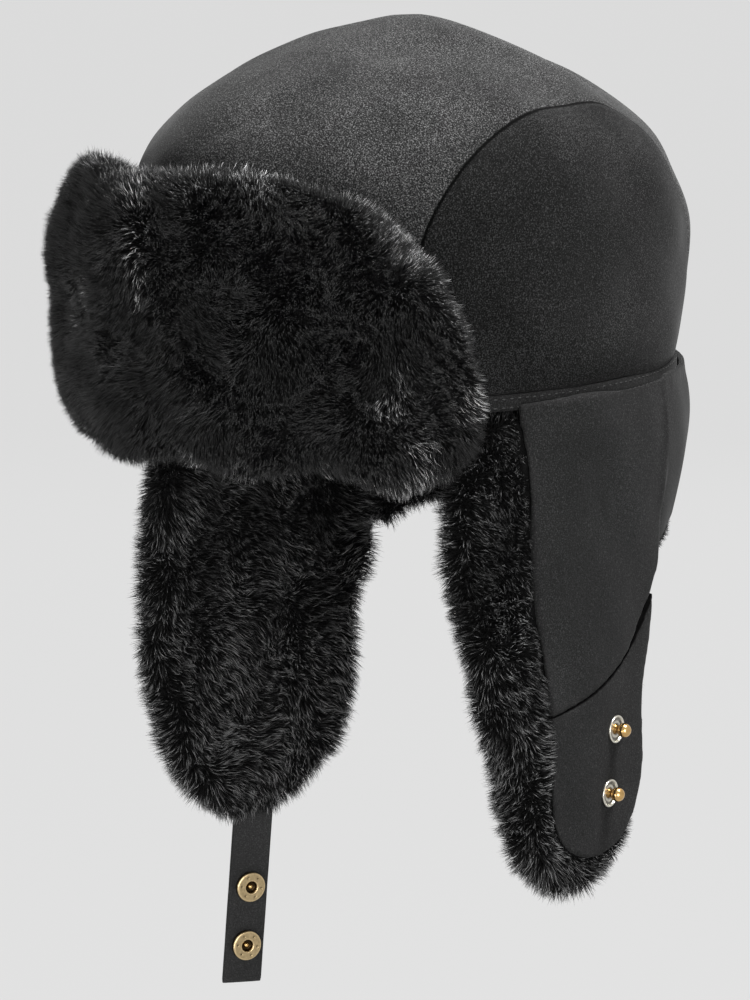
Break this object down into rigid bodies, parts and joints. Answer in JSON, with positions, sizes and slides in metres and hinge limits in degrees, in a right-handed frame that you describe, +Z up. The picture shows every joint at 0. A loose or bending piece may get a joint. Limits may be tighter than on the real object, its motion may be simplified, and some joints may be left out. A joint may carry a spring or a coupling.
{
  "type": "trapper hat",
  "caption": "Wool trapper hat with a turned-up fur front flap, fur-lined ear flaps and neck curtain, and a snap chin strap.",
  "frame": {"origin": "middle of the head opening, level with the crown's lower seam", "axes": "+Z up, the brow and front flap face -Y, +X is the wearer's left"},
  "size_m": [0.2124, 0.2595, 0.3931],
  "materials": {
    "wool": "napped melton wool",
    "fur": "long faux-fur pile",
    "lining": "quilted satin",
    "sweatband": "ribbed grosgrain",
    "antique_brass": "antiqued, worn bright on the edges",
    "pale_brass": "pale plated"
  },
  "bodies": {
    "crown": {"crown_center_panel": "wool", "crown_side_panel_left": "wool", "crown_side_panel_right": "wool", "crown_band": "wool", "lining_center_panel": "lining", "lining_side_panel_left": "lining", "lining_side_panel_right": "lining", "sweatband": "sweatband", "neck_curtain_wool_left": "wool", "neck_curtain_wool_right": "wool", "neck_curtain_fur": "fur"},
    "front_flap": {"front_flap_wool": "wool", "front_flap_fur": "fur"},
    "left_ear_flap": {"ear_flap_wool_left": "wool", "chin_piece_left": "wool", "ear_flap_fur_left": "fur", "snap_stud_washers": "pale_brass", "snap_studs": "antique_brass", "snap_stud_backs": "antique_brass"},
    "right_ear_flap": {"ear_flap_wool_right": "wool", "chin_piece_right": "wool", "ear_flap_fur_right": "fur"},
    "chin_strap": {"chin_strap": "wool", "strap_snap_sockets": "antique_brass", "strap_snap_caps": "antique_brass", "strap_snap_posts": "antique_brass"}
  },
  "joints": [
    {"name": "front_flap_fold", "type": "hinge", "parent": "crown", "child": "front_flap", "pos_m": [0, -0.1128, -0.012], "axis": [1, 0, 0], "range_deg": [0, 75]},
    {"name": "left_ear_flap_fold", "type": "hinge", "parent": "crown", "child": "left_ear_flap", "pos_m": [0.0948, 0, -0.0068], "axis": [0, -1, 0], "range_deg": [0, 165]},
    {"name": "right_ear_flap_fold", "type": "hinge", "parent": "crown", "child": "right_ear_flap", "pos_m": [-0.0948, 0, -0.0068], "axis": [0, 1, 0], "range_deg": [0, 165]},
    {"name": "chin_strap_swing", "type": "hinge", "parent": "right_ear_flap", "child": "chin_strap", "pos_m": [-0.0845, -0.0045, -0.1986], "axis": [-0.3256, -0.9455, 0], "range_deg": [-60, 95]}
  ]
}
